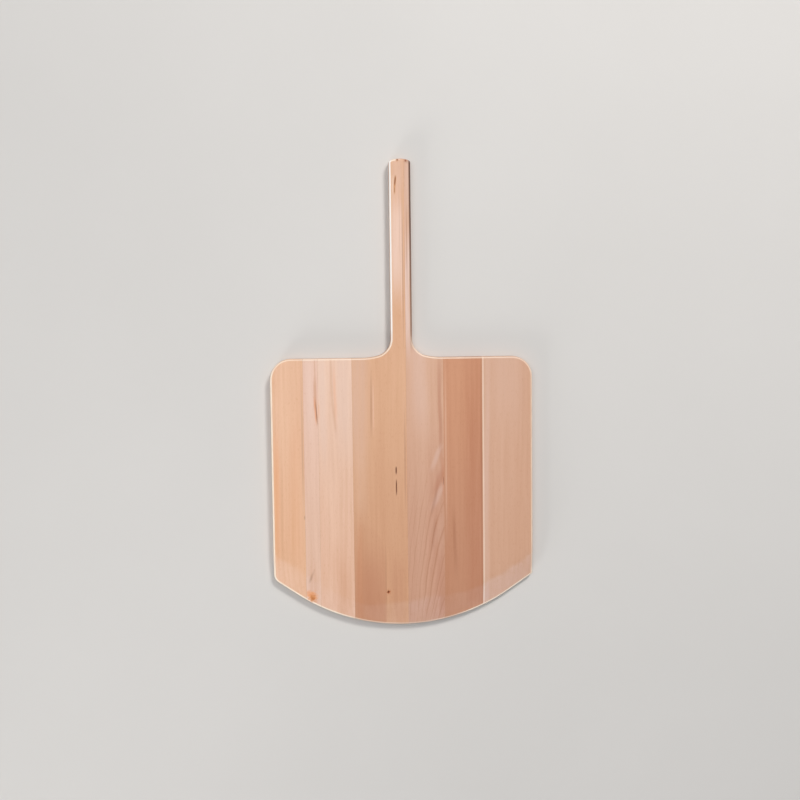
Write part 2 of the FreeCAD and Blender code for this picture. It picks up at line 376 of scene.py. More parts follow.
def build_board(outline):
    """The whole board as arrays: vertices, faces, and each vertex's depth inside the outline."""
    rings = []
    for side in (1, -1):
        face = []
        for angle in np.linspace(0, math.pi / 2, ARRIS_STEPS + 1):
            radius = arris_radius(*outline.points.T)
            inset = radius * (1 - math.cos(angle))
            flat = outline.points - outline.normals * inset[:, None]
            half = half_thickness(*flat.T, side > 0)
            height = MIDDLE + side * (half - radius * (1 - math.sin(angle)))
            face.append((flat, height, inset))
        rings.append(face)
    upper, lower = rings
    wall = []
    for share in np.arange(1, WALL_STEPS) / WALL_STEPS:
        height = upper[0][1] * (1 - share) + lower[0][1] * share
        wall.append((outline.points, height, np.zeros(len(height))))
    stack = upper[::-1] + wall + lower
    count = len(outline.points)

    faces = []
    around = np.arange(count)
    following = np.roll(around, -1)
    for ring in range(len(stack) - 1):
        a, b = ring * count, (ring + 1) * count
        quads = np.stack([a + around, b + around, b + following, a + following], axis=1)
        faces.extend(quads.tolist())

    edge = outline.points - outline.normals * arris_radius(*outline.points.T)[:, None]
    inner = inner_points(outline, ARRIS_RADIUS)
    plan = np.concatenate([edge, inner])
    corners, _, triangles, origins, _, _ = delaunay_2d_cdt(
        [Vector(p / MM) for p in plan], [], [list(range(count))], INSIDE_ONLY, SAME_POINT
    )
    origin = [group[0] for group in origins]
    triangles = np.array([[origin[i] for i in t] for t in triangles])
    a, b, c = (plan[triangles[:, i]] for i in range(3))
    turn = (b[:, 0] - a[:, 0]) * (c[:, 1] - a[:, 1]) - (b[:, 1] - a[:, 1]) * (c[:, 0] - a[:, 0])
    triangles[turn < 0] = triangles[turn < 0][:, ::-1]

    vertices = [np.column_stack([flat, height]) for flat, height, _ in stack]
    depths = [inset for _, _, inset in stack]
    inner_depth = np.array([outline.depth(*p) for p in inner])
    x, y = inner.T
    total = count * len(stack)
    for side, edge_start in ((1, 0), (-1, count * (len(stack) - 1))):
        height = half_thickness(x, y, side > 0)
        settle = np.clip((inner_depth - ARRIS_RADIUS) / SETTLE_WIDTH, 0, 1)
        uneven = waves(x, y, side) * settle
        if side > 0:
            height = height + uneven - dents(x, y)
        else:
            height = height - np.abs(uneven)
        vertices.append(np.column_stack([inner, MIDDLE + side * height]))
        depths.append(inner_depth)
        index = np.where(triangles < count, triangles + edge_start, triangles - count + total)
        faces.extend((index if side > 0 else index[:, ::-1]).tolist())
        total += len(inner)
    return np.concatenate(vertices), faces, np.concatenate(depths)


class Board:
    """The whole board, which slice() divides into its pieces."""

    def __init__(self):
        outline = Outline()
        self.vertices, self.faces, self.depths = build_board(outline)
        x, y, z = self.vertices.T
        drop = taper_drop(x, y, TOP_TAPER_WIDTHS) / (MIDDLE - NOSE_HALF_THICKNESS)
        self.tapers = np.where(z > MIDDLE, np.clip(drop / TAPER_FULL_AT, 0, 1), 0)
        self.lows = np.array([self.vertices[f, 0].min() for f in self.faces])
        self.highs = np.array([self.vertices[f, 0].max() for f in self.faces])

    def slice(self, name, left, right):
        """A new mesh object: the part of the board between two places across it."""
        near = np.flatnonzero((self.highs > left) & (self.lows < right))
        chosen = [self.faces[i] for i in near]
        used = np.unique(np.concatenate(chosen))
        renumber = {int(old): new for new, old in enumerate(used)}
        bm = bmesh.new()
        depth = bm.verts.layers.float.new("depth")
        taper = bm.verts.layers.float.new("taper")
        for old in used:
            vertex = bm.verts.new(self.vertices[old])
            vertex[depth] = self.depths[old]
            vertex[taper] = self.tapers[old]
        bm.verts.ensure_lookup_table()
        for face in chosen:
            bm.faces.new([bm.verts[renumber[int(i)]] for i in face]).smooth = True
        for place, keep in ((left, 1), (right, -1)):
            if abs(place) > HALF_WIDTH - MM:
                continue
            everything = bm.verts[:] + bm.edges[:] + bm.faces[:]
            cut = bmesh.ops.bisect_plane(
                bm, geom=everything, dist=SEAM_REACH, plane_co=(place, 0, 0),
                plane_no=(keep, 0, 0), clear_inner=True,
            )
            seam = [e for e in cut["geom_cut"] if isinstance(e, bmesh.types.BMEdge)]
            for e in seam:
                e.smooth = False
            bmesh.ops.edgeloop_fill(bm, edges=seam)
        bmesh.ops.recalc_face_normals(bm, faces=bm.faces[:])
        mesh = bpy.data.meshes.new(name)
        bm.to_mesh(mesh)
        bm.free()
        piece = bpy.data.objects.new(name, mesh)
        bpy.context.scene.collection.objects.link(piece)
        return piece


# ---------------------------------------------------------------- shader helpers

def srgb(red, green, blue):
    """A colour given as eye values from 0 to 255, as linear light."""
    values = []
    for value in (red, green, blue):
        share = value / 255
        values.append(share / 12.92 if share <= 0.04045 else ((share + 0.055) / 1.055) ** 2.4)
    return (*values, 1.0)


def tinted(colour, red, green, blue):
    """A colour with each of its channels scaled."""
    return (colour[0] * red, colour[1] * green, colour[2] * blue, 1.0)


class Shader:
    """One material's node tree, with short ways to add its usual nodes."""

    def __init__(self, name):
        self.material = bpy.data.materials.new(name)
        self.material.use_nodes = True
        self.tree = self.material.node_tree
        self.tree.nodes.clear()
        self.surface = self.tree.nodes.new("ShaderNodeBsdfPrincipled")
        output = self.tree.nodes.new("ShaderNodeOutputMaterial")
        self.tree.links.new(self.surface.outputs["BSDF"], output.inputs["Surface"])

    def feed(self, socket, value):
        if isinstance(value, bpy.types.NodeSocket):
            self.tree.links.new(value, socket)
        else:
            socket.default_value = value

    def node(self, kind, values, **settings):
        node = self.tree.nodes.new(kind)
        for setting, value in settings.items():
            setattr(node, setting, value)
        for key, value in values.items():
            self.feed(node.inputs[key], value)
        return node

    def math(self, operation, *values):
        return self.node("ShaderNodeMath", dict(enumerate(values)), operation=operation).outputs[0]

    def add(self, *values):
        total = values[0]
        for value in values[1:]:
            total = self.math("ADD", total, value)
        return total

    def multiply(self, *values):
        product = values[0]
        for value in values[1:]:
            product = self.math("MULTIPLY", product, value)
        return product

    def distance(self, value, place):
        """How far value is from place, either way."""
        return self.math("ABSOLUTE", self.math("SUBTRACT", value, place))

    def length(self, *sides):
        """The length of a vector with these sides."""
        return self.math("SQRT", self.add(*[self.multiply(side, side) for side in sides]))

    def off_centre(self, value, strength):
        """A noise value as a swing of that strength about zero."""
        return self.math("MULTIPLY_ADD", value, strength, -strength / 2)

    def less(self, value, share=1.0):
        """1 where value is 0, and lower by that share of it elsewhere."""
        return self.math("MULTIPLY_ADD", value, -share, 1.0)

    def remap(self, value, low, high, to_low=0.0, to_high=1.0):
        """value eased from to_low to to_high as it goes from low to high."""
        values = {"Value": value, "From Min": low, "From Max": high,
                  "To Min": to_low, "To Max": to_high}
        node = self.node("ShaderNodeMapRange", values, interpolation_type="SMOOTHSTEP")
        return node.outputs[0]

    def fade(self, value, low, high, strength=1.0):
        """That strength up to low, eased to nothing at high."""
        return self.remap(value, low, high, strength, 0.0)

    def vector(self, x, y, z):
        return self.node("ShaderNodeCombineXYZ", {"X": x, "Y": y, "Z": z}).outputs[0]

    def split(self, vector):
        return self.node("ShaderNodeSeparateXYZ", {"Vector": vector}).outputs

    def noise(self, vector, detail, roughness=0.5):
        values = {"Vector": vector, "Scale": 1.0, "Detail": detail, "Roughness": roughness}
        return self.node("ShaderNodeTexNoise", values).outputs[0]

    def texture(self, vector, settings, seed=0.0):
        """Noise stretched along the grain, from one of the lists of settings below."""
        across, along, detail, roughness, shift = settings
        shift = seed + shift
        values = {0: vector, 1: (across, along, across), 2: (shift, shift * 1.7, shift * 0.6)}
        node = self.node("ShaderNodeVectorMath", values, operation="MULTIPLY_ADD")
        return self.noise(node.outputs[0], detail, roughness)

    def mix(self, factor, first, second, blend="MIX"):
        node = self.node("ShaderNodeMix", {}, data_type="RGBA", blend_type=blend)
        self.feed(node.inputs[0], factor)
        self.feed(node.inputs[6], first)
        self.feed(node.inputs[7], second)
        return node.outputs[2]

    def bump(self, height, strength, distance):
        values = {"Strength": strength, "Distance": distance, "Height": height}
        self.feed(self.surface.inputs["Normal"], self.node("ShaderNodeBump", values).outputs[0])

    def attribute(self, name):
        return self.node("ShaderNodeAttribute", {}, attribute_name=name).outputs["Fac"]


# ---------------------------------------------------------------- textures

# Changes per metre across and along the grain, detail, roughness, and a shift to a place of its
# own, which is added to the stave's seed. RAGGED runs on across the seams, without a seed.
DRIFT = (14, 4, 2, 0.5, 0)
RIPPLE = (55, 24, 1, 0.5, 5)
BAND = (42, 2.2, 3, 0.5, 1)
LINE = (240, 9, 3, 0.55, 2)
FIBRE = (1300, 26, 2, 0.6, 3)
DASH = (1900, 190, 1, 0.5, 4)
PATCH = (45, 45, 3, 0.5, 6)
RAGGED = (38, 38, 3, 0.5, 9)
GLUE_SQUEEZE = (60, 60, 3, 0.5, 2)
GLUE_BEADS = (900, 300, 2, 0.5, 7)
FLOOR_CLOUDS = (2.5, 2.5, 4, 0.5, 1)


# ---------------------------------------------------------------- wood

# How each stave was sawn from its log, and how it looks. rear and front are its colours at
# the shoulders and at the front edge; the front's darker colour is partly painted shade, for
# light that falls off towards the front. pith is where the log's middle ran, in millimetres across
# the peel and below its middle height, and lean is how much that depth changes along the peel,
# which bends the rings on the face into arches. ring is a ring's width and lines the strength of
# its late wood, of which evenness is the least that any ring has. wander and ripple are how far the
# fibres stray, in millimetres, and streaks is how strongly they differ in colour. figure is the
# line along which the rings stand out most: from, to and half width, in millimetres.
WOODS = {
    "left_edge_stave": dict(
        rear=srgb(229, 184, 152), front=srgb(227, 179, 144), pith=(-310, 60), lean=0.02,
        ring=5.2, seed=3.1, lines=0.12, streaks=0.60, wander=5, ripple=0.5,
    ),
    "left_narrow_stave": dict(
        rear=srgb(229, 192, 172), front=srgb(226, 188, 165), pith=(-224, 90), lean=0.05,
        ring=7.0, seed=11.7, lines=0.10, streaks=0.60, wander=4, ripple=0.5,
    ),
    "left_inner_stave": dict(
        rear=srgb(231, 195, 172), front=srgb(226, 183, 156), pith=(-290, 70), lean=-0.06,
        ring=6.5, seed=23.9, lines=0.10, streaks=0.65, wander=5, ripple=0.8,
    ),
    "handle_left_stave": dict(
        rear=srgb(216, 168, 133), front=srgb(207, 157, 122), pith=(-230, 120), lean=0.03,
        ring=7.5, seed=37.3, lines=0.08, streaks=0.60, wander=5, ripple=0.6,
    ),
    "handle_right_stave": dict(
        rear=srgb(211, 167, 140), front=srgb(200, 153, 127), pith=(68, 60), lean=0.15,
        ring=5.0, seed=41.9, lines=0.38, streaks=0.60, wander=7, ripple=1.6,
        figure=((44, -130), (36, -340), 24), evenness=0.6,
    ),
    "right_inner_stave": dict(
        rear=srgb(201, 144, 110), front=srgb(191, 136, 105), pith=(250, 90), lean=0.04,
        ring=6.2, seed=53.3, lines=0.10, streaks=0.60, wander=5, ripple=0.6,
    ),
    "right_edge_stave": dict(
        rear=srgb(208, 164, 137), front=srgb(206, 161, 133), pith=(460, 160), lean=0.05,
        ring=8.0, seed=67.1, lines=0.08, streaks=0.50, wander=5, ripple=0.6,
    ),
}

# Near black: the dark middle of a knot; over the cracks and pits it is painted shade inside them.
PITH_AND_CRACK_SHADE = srgb(92, 36, 8)
# Dark brown painted shade, on the handle's right arris and the right of its end.
SHADE_BROWN = srgb(86, 52, 38)
TAN = srgb(192, 128, 86)
AMBER = srgb(196, 102, 40)
ORANGE = srgb(232, 162, 112)
BROWN = srgb(150, 92, 62)
RED_BROWN = srgb(172, 104, 74)
KNOT_WOOD = srgb(176, 92, 40)
STAIN = srgb(160, 116, 92)
OCHRE = srgb(200, 128, 64)
PALE = srgb(244, 216, 198)
HONEY = srgb(222, 148, 98)
# Near white: a painted sheen down the handle's middle. Pale lavender: mostly a painted sheen of a
# cool light, and elsewhere the pale lobes of the figure.
HANDLE_SHEEN = srgb(247, 225, 216)
SHEEN_AND_PALE_WOOD = srgb(228, 204, 195)
# Sanded arrises, paler than the faces, with a painted highlight where light catches them; the
# whiter one is only a painted highlight, on the handle's left arris.
SANDED_AND_LIT_EDGE = srgb(255, 240, 220)
HIGHLIGHT_EDGE = srgb(255, 250, 244)

# Streaks and patches in the top face's wood, each along a line, in millimetres: from, to, half
# width, colour and strength. They run out to nothing at both ends and to the sides. The broad pale
# lavender and near white patches are mostly a painted sheen, all but the pale lobes in the right
# handle stave's figure, and the near black marks over the cracks and pits are painted shade.
MARKS = {
    "left_edge_stave": [
        ((-171.5, -20), (-171, -260), 6.0, ORANGE, 0.42),
        ((-147, 20), (-146, -280), 12.0, HONEY, 0.16),
        ((-165, -50), (-164, -270), 3.0, TAN, 0.18),
        ((-136.2, 60), (-136.0, -190), 2.0, BROWN, 0.30),
        ((-134.6, -161), (-134.4, -169), 0.9, PITH_AND_CRACK_SHADE, 0.5),
    ],
    "left_narrow_stave": [
        ((-127, 110), (-125, -80), 8.0, SHEEN_AND_PALE_WOOD, 0.16),
        ((-118.0, 70), (-117.4, 10), 1.6, TAN, 0.35),
        ((-117.2, 34), (-116.8, -26), 3.3, TAN, 0.52),
        ((-118.0, 4), (-115.4, -44), 2.6, HONEY, 0.72),
        ((-117.4, -2), (-115.0, -43), 1.1, PITH_AND_CRACK_SHADE, 0.62),
        ((-124, -195), (-124, -360), 10.0, TAN, 0.20),
        ((-121.6, -234), (-130.2, -257), 2.4, STAIN, 0.30),
        ((-125.4, -240), (-131.2, -258), 3.2, STAIN, 0.24),
    ],
    "left_inner_stave": [
        ((-95.3, 80), (-92.4, -40), 3.0, TAN, 0.30),
        ((-92.8, 0), (-89, -60), 3.0, TAN, 0.28),
        ((-90, 50), (-88.4, -50), 3.0, ORANGE, 0.30),
        ((-113.2, -4), (-112.6, -34), 1.3, ORANGE, 0.45),
        ((-78, 120), (-78, -110), 16.0, SHEEN_AND_PALE_WOOD, 0.27),
        ((-108, 120), (-106, -130), 9.0, SHEEN_AND_PALE_WOOD, 0.26),
        ((-91, -180), (-90, -320), 14.0, TAN, 0.20),
        ((-82, -205), (-82, -360), 14.0, TAN, 0.26),
    ],
    "handle_left_stave": [
        ((-9.3, -112.5), (-9.2, -139.5), 1.3, PITH_AND_CRACK_SHADE, 1.0),
        ((-9.4, -95.6), (-9.3, -109.4), 1.5, PITH_AND_CRACK_SHADE, 1.0),
        ((-60, 130), (-60, -120), 20.0, SHEEN_AND_PALE_WOOD, 0.24),
        ((-42, 44), (-42.5, -66), 2.2, BROWN, 0.30),
        ((-39.2, 30), (-39.6, -60), 1.8, PALE, 0.26),
        ((2.8, 10), (3.0, -180), 2.0, BROWN, 0.28),
        ((-58, -40), (-58, -190), 14.0, PALE, 0.14),
        ((-61, -140), (-61, -360), 6.0, AMBER, 0.14),
        ((-44, -200), (-44, -350), 23.0, RED_BROWN, 0.22),
        ((-25.2, -190), (-24.8, -310), 1.4, BROWN, 0.26),
        ((2.7, 300), (2.7, 30), 1.0, BROWN, 0.42),
        ((0.8, 290), (0.9, 60), 0.9, PALE, 0.34),
        ((-1.4, 292), (-0.8, 170), 0.8, BROWN, 0.36),
        ((-5, 303), (-5, 106), 12.0, HANDLE_SHEEN, 0.49),
        ((-3, 340), (-3, 262), 14.0, SHEEN_AND_PALE_WOOD, 0.26),
        ((-8, -200), (-8, -350), 16.0, RED_BROWN, 0.24),
        ((-9.2, 298), (-9.6, 266), 2.2, SANDED_AND_LIT_EDGE, 0.20),
        ((-5.3, 297), (-7.3, 276), 2.0, OCHRE, 1.0),
        ((-7.1, 284), (-7.2, 268), 1.6, OCHRE, 0.85),
        ((-5.5, 296), (-7.1, 279), 1.3, PITH_AND_CRACK_SHADE, 0.90),
        ((-7.1, 280), (-7.2, 270), 0.9, PITH_AND_CRACK_SHADE, 0.48),
    ],
    "handle_right_stave": [
        ((22, 130), (26, -80), 18.0, SHEEN_AND_PALE_WOOD, 0.21),
        ((9.5, 245), (9.5, 25), 5.5, SHEEN_AND_PALE_WOOD, 0.60),
        ((9.5, 345), (9.5, 225), 7.0, SHEEN_AND_PALE_WOOD, 0.24),
        ((6.4, 280), (6.4, 60), 0.8, PALE, 0.26),
        ((8.2, 290), (8.4, 130), 0.9, BROWN, 0.34),
        ((10.8, 250), (10.8, 70), 0.9, PALE, 0.36),
        ((53.5, 90), (54.5, -130), 4.6, RED_BROWN, 0.38),
        ((36, -109), (57, -62), 6.0, SHEEN_AND_PALE_WOOD, 0.29),
        ((40, -142), (59, -92), 8.0, RED_BROWN, 0.40),
        ((36, -163), (57, -114), 6.0, SHEEN_AND_PALE_WOOD, 0.31),
        ((36.5, -172), (46.5, -120), 3.2, BROWN, 0.36),
        ((43, -212), (55, -158), 4.0, PALE, 0.08),
        ((37, -222), (44.5, -164), 3.2, BROWN, 0.30),
        ((47, 0), (44, -410), 21.0, RED_BROWN, 0.22),
        ((55, -70), (55.6, -160), 3.6, AMBER, 0.26),
        ((55.3, -110), (55.6, -126), 1.0, PITH_AND_CRACK_SHADE, 0.6),
        ((50, -195), (52, -345), 9.0, RED_BROWN, 0.22),
    ],
    "right_inner_stave": [
        ((99, 160), (100, -430), 21.0, RED_BROWN, 0.34),
        ((107.6, 160), (107.6, -430), 1.8, BROWN, 0.36),
        ((58.8, 80), (59, -230), 1.9, PALE, 0.24),
        ((66.0, -140), (72.8, -272), 4.0, BROWN, 0.30),
    ],
    "right_edge_stave": [
        ((110.2, 300), (110.2, -540), 1.8, SANDED_AND_LIT_EDGE, 0.42),
        ((114.0, 160), (114.0, -420), 6.0, SHEEN_AND_PALE_WOOD, 0.22),
        ((142, 190), (142, -80), 36.0, SHEEN_AND_PALE_WOOD, 0.12),
    ],
}

# Knots and bruises, in millimetres: place, radius, then the colour and strength of the stain
# round each and of its wood, and the strength of its dark middle.
KNOTS = {
    "left_narrow_stave": [
        ((-131.0, -270.0), 3.4, ORANGE, 0.50, HONEY, 0.35, 0.0),
        ((-126.0, -275.2), 5.2, ORANGE, 0.80, HONEY, 0.75, 0.0),
        ((-125.6, -277.6), 3.4, OCHRE, 0.60, KNOT_WOOD, 0.55, 0.0),
    ],
    "handle_left_stave": [
        ((-21.6, -270.1), 2.8, TAN, 0.30, KNOT_WOOD, 0.9, 1.0),
        ((-3.1, 315.2), 1.5, TAN, 0.60, BROWN, 0.8, 0.6),
    ],
    "handle_right_stave": [((8.0, 314.2), 1.6, TAN, 0.60, BROWN, 0.9, 0.7)],
}

# A mark is at full strength over this share of its length, either side of its middle, and over
# this share of its half width.
MARK_MIDDLE = 0.12
MARK_CORE = 0.15
# A mark with a half width over this, in millimetres, wanders with the grain.
NARROW_MARK = 2.5

# Stretches of a ring, as shares of its width: LATE_WOOD is where it darkens, and RING_END where
# that ends. In a stave with a figure the dark is a thin line, and the figure has a bright band
# before it.
LATE_WOOD = (0.30, 0.92)
RING_END = (0.93, 1.0)
THIN_LATE_WOOD = (0.76, 0.92)
BRIGHT_BAND = (0.20, 0.64)
BRIGHT_BAND_END = (0.66, 0.82)
BRIGHT_BAND_STRENGTH = 0.5
RING_UNEVENNESS = 2.5

USUAL_TONE = 0.36
PALE_GRAIN = (1.07, 1.12, 1.17)
DARK_GRAIN = (0.84, 0.73, 0.63)
SANDED_TINT = (1.07, 1.20, 1.42, 1.0)
END_GRAIN_TINT = (0.66, 0.54, 0.44)

# The heartwood's edge across the peel. It swings left of there, by HEARTWOOD_SWING at
# HEARTWOOD_TURN and e times more with each HEARTWOOD_BEND further back.
HEARTWOOD_EDGE = -24 * MM
HEARTWOOD_SWING = 10 * MM
HEARTWOOD_TURN = -190 * MM
HEARTWOOD_BEND = 14 * MM

# Across the peel, the place about which the sanding of the taper shows least.
DULL_PLACE = -100 * MM
# Stretches of the peel over which the arrises' paleness, painted highlight and painted shade come
# in: along it, then across it.
FRONT_RIM = (-315 * MM, -296 * MM)
SIDE_BEGINS = (-262 * MM, -235 * MM)
HANDLE_BEGINS = (55 * MM, 90 * MM)
HANDLE_SHADE_DEEPENS = (80 * MM, 260 * MM)
HANDLE_END = (309 * MM, 314 * MM)
TOWARDS_RIGHT_SIDE = (60 * MM, 177 * MM)
HANDLE_LEFT_ARRIS = (-12 * MM, -10 * MM)
HANDLE_RIGHT_ARRIS = (11.0 * MM, 12.7 * MM)


class Wood(Shader):
    """One stave's wood, which paint() builds up from its grain to the wear on its edges."""

    def __init__(self, stave):
        super().__init__(stave.replace("_stave", "_wood"))
        self.stave = stave
        self.look = WOODS[stave]
        self.seed = self.look["seed"]
        coordinates = self.node("ShaderNodeTexCoord", {}).outputs
        self.place = coordinates["Object"]
        self.x, self.y, self.z = self.split(self.place)
        _, self.facing_y, self.facing_z = self.split(coordinates["Normal"])
        self.taper = self.attribute("taper")
        self.patches = self.texture(self.place, PATCH, self.seed)

        # The fibres drift and ripple a little on their way along the board.
        drift = self.texture(self.place, DRIFT, self.seed)
        ripple = self.texture(self.place, RIPPLE, self.seed)
        self.across = self.add(
            self.x,
            self.off_centre(drift, self.look["wander"] * 2 * MM),
            self.off_centre(ripple, self.look["ripple"] * 2 * MM),
        )

        # Streaks along the grain, from broad bands of colour down to single fibres and pores.
        grain = self.vector(self.across, self.y, self.z)
        self.band = self.texture(grain, BAND, self.seed)
        self.line = self.texture(grain, LINE, self.seed)
        self.fibre = self.texture(grain, FIBRE, self.seed)
        self.pores = self.remap(self.texture(grain, DASH, self.seed), 0.60, 0.74)

    def streak(self, across, first, last, half_width):
        """A mask for one mark along the grain, which fades out at both ends and both sides."""
        (x0, y0), (x1, y1) = first, last
        share = self.math("MULTIPLY_ADD", self.y, 1 / ((y1 - y0) * MM), -y0 / (y1 - y0))
        middle = self.math("MULTIPLY_ADD", share, (x1 - x0) * MM, x0 * MM)
        away = self.distance(across, middle)
        ends = self.fade(self.distance(share, 0.5), MARK_MIDDLE, 0.5)
        sides = self.fade(away, half_width * MARK_CORE * MM, half_width * MM)
        return self.multiply(sides, ends)

    def growth_rings(self):
        """The late wood of the rings about the pith, and how strongly it shows.

        The rings are uneven in width, and some of them are faint.
        """
        look = self.look
        pith_x, pith_depth = look["pith"]
        from_pith = self.math("SUBTRACT", self.across, pith_x * MM)
        below = self.math("MULTIPLY_ADD", self.y, look["lean"], pith_depth * MM - MIDDLE)
        rings = self.length(from_pith, self.add(self.z, below))
        rings = self.multiply(rings, 1 / (look["ring"] * MM))
        uneven = self.noise(self.vector(self.multiply(rings, 0.45), self.seed, 0.0), 1)
        years = self.add(rings, self.multiply(uneven, RING_UNEVENNESS))
        phase = self.math("FRACT", years)
        year = self.math("FLOOR", years)
        vivid = self.node("ShaderNodeTexWhiteNoise", {"W": year}, noise_dimensions="1D").outputs[0]
        evenness = look.get("evenness", 0.2)
        vivid = self.math("MULTIPLY_ADD", vivid, 1 - evenness, evenness)
        ring_end = self.fade(phase, *RING_END)
        if "figure" not in look:
            late = self.multiply(self.remap(phase, *LATE_WOOD), ring_end)
            return self.multiply(late, vivid), look["lines"]

        figured = self.streak(self.x, *look["figure"])
        thin = self.multiply(self.remap(phase, *THIN_LATE_WOOD), ring_end)
        bright = self.multiply(
            self.remap(phase, *BRIGHT_BAND),
            self.fade(phase, *BRIGHT_BAND_END),
            figured,
            BRIGHT_BAND_STRENGTH,
        )
        late = self.math("SUBTRACT", thin, bright)
        shown = self.math("MULTIPLY_ADD", figured, look["lines"], look["lines"])
        fading = self.remap(self.y, -180 * MM, -70 * MM, 1.0, 0.12)
        return self.multiply(late, vivid), self.multiply(fading, shown)

    def grain_colour(self, late, lines):
        """The stave's colours from rear to front, paler and darker with the grain; the darker front
        is partly painted shade, for light falling off towards the front.
        """
        strength = self.look["streaks"]
        tone = self.add(
            USUAL_TONE,
            self.off_centre(self.band, 1.1 * strength),
            self.off_centre(self.line, 0.75 * strength),
            self.off_centre(self.fibre, 0.40 * strength),
            self.multiply(late, lines),
            self.multiply(self.pores, 0.30),
        )
        rear, front = (
            self.mix(tone, tinted(usual, *PALE_GRAIN), tinted(usual, *DARK_GRAIN))
            for usual in (self.look["rear"], self.look["front"])
        )
        return self.mix(self.fade(self.y, -240 * MM, 20 * MM), rear, front)

    def heartwood(self, colour):
        """A darker tongue of heartwood at the front, whose right edge curves away to the left."""
        bends = self.math(
            "MULTIPLY_ADD", self.y, 1 / HEARTWOOD_BEND, -HEARTWOOD_TURN / HEARTWOOD_BEND
        )
        swing = self.math("EXPONENT", bends)
        edge = self.math("MULTIPLY_ADD", swing, -HEARTWOOD_SWING, HEARTWOOD_EDGE)
        inside = self.fade(self.math("SUBTRACT", self.x, edge), -3.0 * MM, 1.0 * MM)
        deeper = self.fade(self.y, -300 * MM, -150 * MM, 0.34)
        return self.mix(self.multiply(inside, deeper), colour, RED_BROWN)

    def marks(self, colour):
        """The streaks and patches, which lie in the top face only. The grain shows through."""
        on_top = self.remap(self.z, MIDDLE, MIDDLE + MM)
        through = self.multiply(on_top, self.remap(self.line, 0.30, 0.65, 0.70, 1.0))
        for first, last, half_width, mark_colour, strength in MARKS[self.stave]:
            across = self.across if half_width > NARROW_MARK else self.x
            mask = self.streak(across, first, last, half_width)
            colour = self.mix(self.multiply(mask, through, strength), colour, mark_colour)
        return colour

    def sanded_taper(self, colour):
        """The taper's cut fibres are paler, most of all at the right."""
        ragged = self.off_centre(self.texture(self.place, RAGGED), 1.4)
        sanded = self.multiply(
            self.remap(self.add(self.taper, ragged), 0.20, 1.0),
            self.remap(self.patches, 0.2, 0.7, 0.35, 0.65),
            self.remap(self.x, 60 * MM, 130 * MM, 1.0, 1.4),
            self.remap(self.distance(self.x, DULL_PLACE), 20 * MM, 52 * MM, 0.30, 1.0),
            self.remap(self.taper, 0.0, 0.15),
        )
        return self.mix(sanded, colour, SANDED_TINT, "MULTIPLY")

    def sanded_and_lit_arrises(self, colour):
        """The arrises are paler still, as sanded wood with a painted highlight where light catches
        them, and whitest at the handle's left.

        They are less so at the front's middle, the right side, the shoulders and the handle's
        end. The handle's right arris and the right of the handle's end are painted dark as shade.
        """
        arris_band = self.fade(self.attribute("depth"), 1.7 * MM, 2.8 * MM)
        turned = self.remap(self.distance(self.facing_z, 0.0), 0.10, 0.55)
        right_side = self.multiply(
            self.remap(self.x, *TOWARDS_RIGHT_SIDE), self.remap(self.y, *SIDE_BEGINS)
        )
        at_end = self.remap(self.y, *HANDLE_END)
        shaded_end = self.multiply(at_end, self.remap(self.x, -8 * MM, 4 * MM, 0.15, 1.0))
        on_handle = self.remap(self.y, *HANDLE_BEGINS)
        # A painted highlight whitens the handle's left arris, and painted shade darkens its right
        # arris.
        highlit_left_arris = self.multiply(on_handle, self.fade(self.x, *HANDLE_LEFT_ARRIS))
        shaded_right_arris = self.multiply(on_handle, self.remap(self.x, *HANDLE_RIGHT_ARRIS))
        pale_and_lit = self.multiply(
            self.remap(self.patches, 0.25, 0.65, 0.70, 0.95),
            self.remap(self.y, *FRONT_RIM, 0.46, 1.0),
            self.less(right_side, 0.42),
            self.remap(self.distance(self.y, SHOULDER), 6 * MM, 22 * MM, 0.62, 1.0),
            self.less(shaded_end),
            self.less(shaded_right_arris),
        )
        pale_and_lit = self.math("MAXIMUM", pale_and_lit, highlit_left_arris)
        edge_colour = self.mix(highlit_left_arris, SANDED_AND_LIT_EDGE, HIGHLIGHT_EDGE)
        colour = self.mix(self.multiply(arris_band, turned, pale_and_lit), colour, edge_colour)

        # Painted shade in dark brown: along the handle's right arris, deeper towards its end, and
        # over the right of the handle's end, fading down the sides.
        painted_shade = self.math(
            "MAXIMUM",
            self.multiply(shaded_right_arris, self.remap(self.y, *HANDLE_SHADE_DEEPENS, 0.60, 0.92)),
            self.multiply(at_end, self.remap(self.x, 4 * MM, 11 * MM, 0.0, 0.34)),
        )
        painted_shade = self.multiply(painted_shade, self.remap(self.z, 9 * MM, 13 * MM, 0.20, 1.0))
        return self.mix(painted_shade, colour, SHADE_BROWN)

    def knot(self, colour, centre, radius, stain_colour, stain, knot_colour, body, pith):
        """A knot or bruise with a dark middle, and the colour that it tints round itself.

        It fades with depth, a small one before it comes out underneath.
        """
        from_centre = self.length(
            self.math("SUBTRACT", self.x, centre[0] * MM),
            self.multiply(self.math("SUBTRACT", self.y, centre[1] * MM), 0.85),
            self.multiply(self.math("SUBTRACT", self.z, THICKNESS), 0.4),
        )
        finer = 1400 / radius
        plan = self.vector(self.multiply(self.x, finer), self.multiply(self.y, finer), 1)
        grown = self.remap(self.noise(plan, 3), 0.2, 0.8, 0.6, 1.5)
        away = self.multiply(from_centre, 1 / (radius * MM), grown)
        colour = self.mix(self.fade(away, 0.7, 1.8, stain), colour, stain_colour)
        colour = self.mix(self.fade(away, 0.45, 1.05, body), colour, knot_colour)
        return self.mix(self.fade(away, 0.25, 0.60, pith), colour, PITH_AND_CRACK_SHADE)

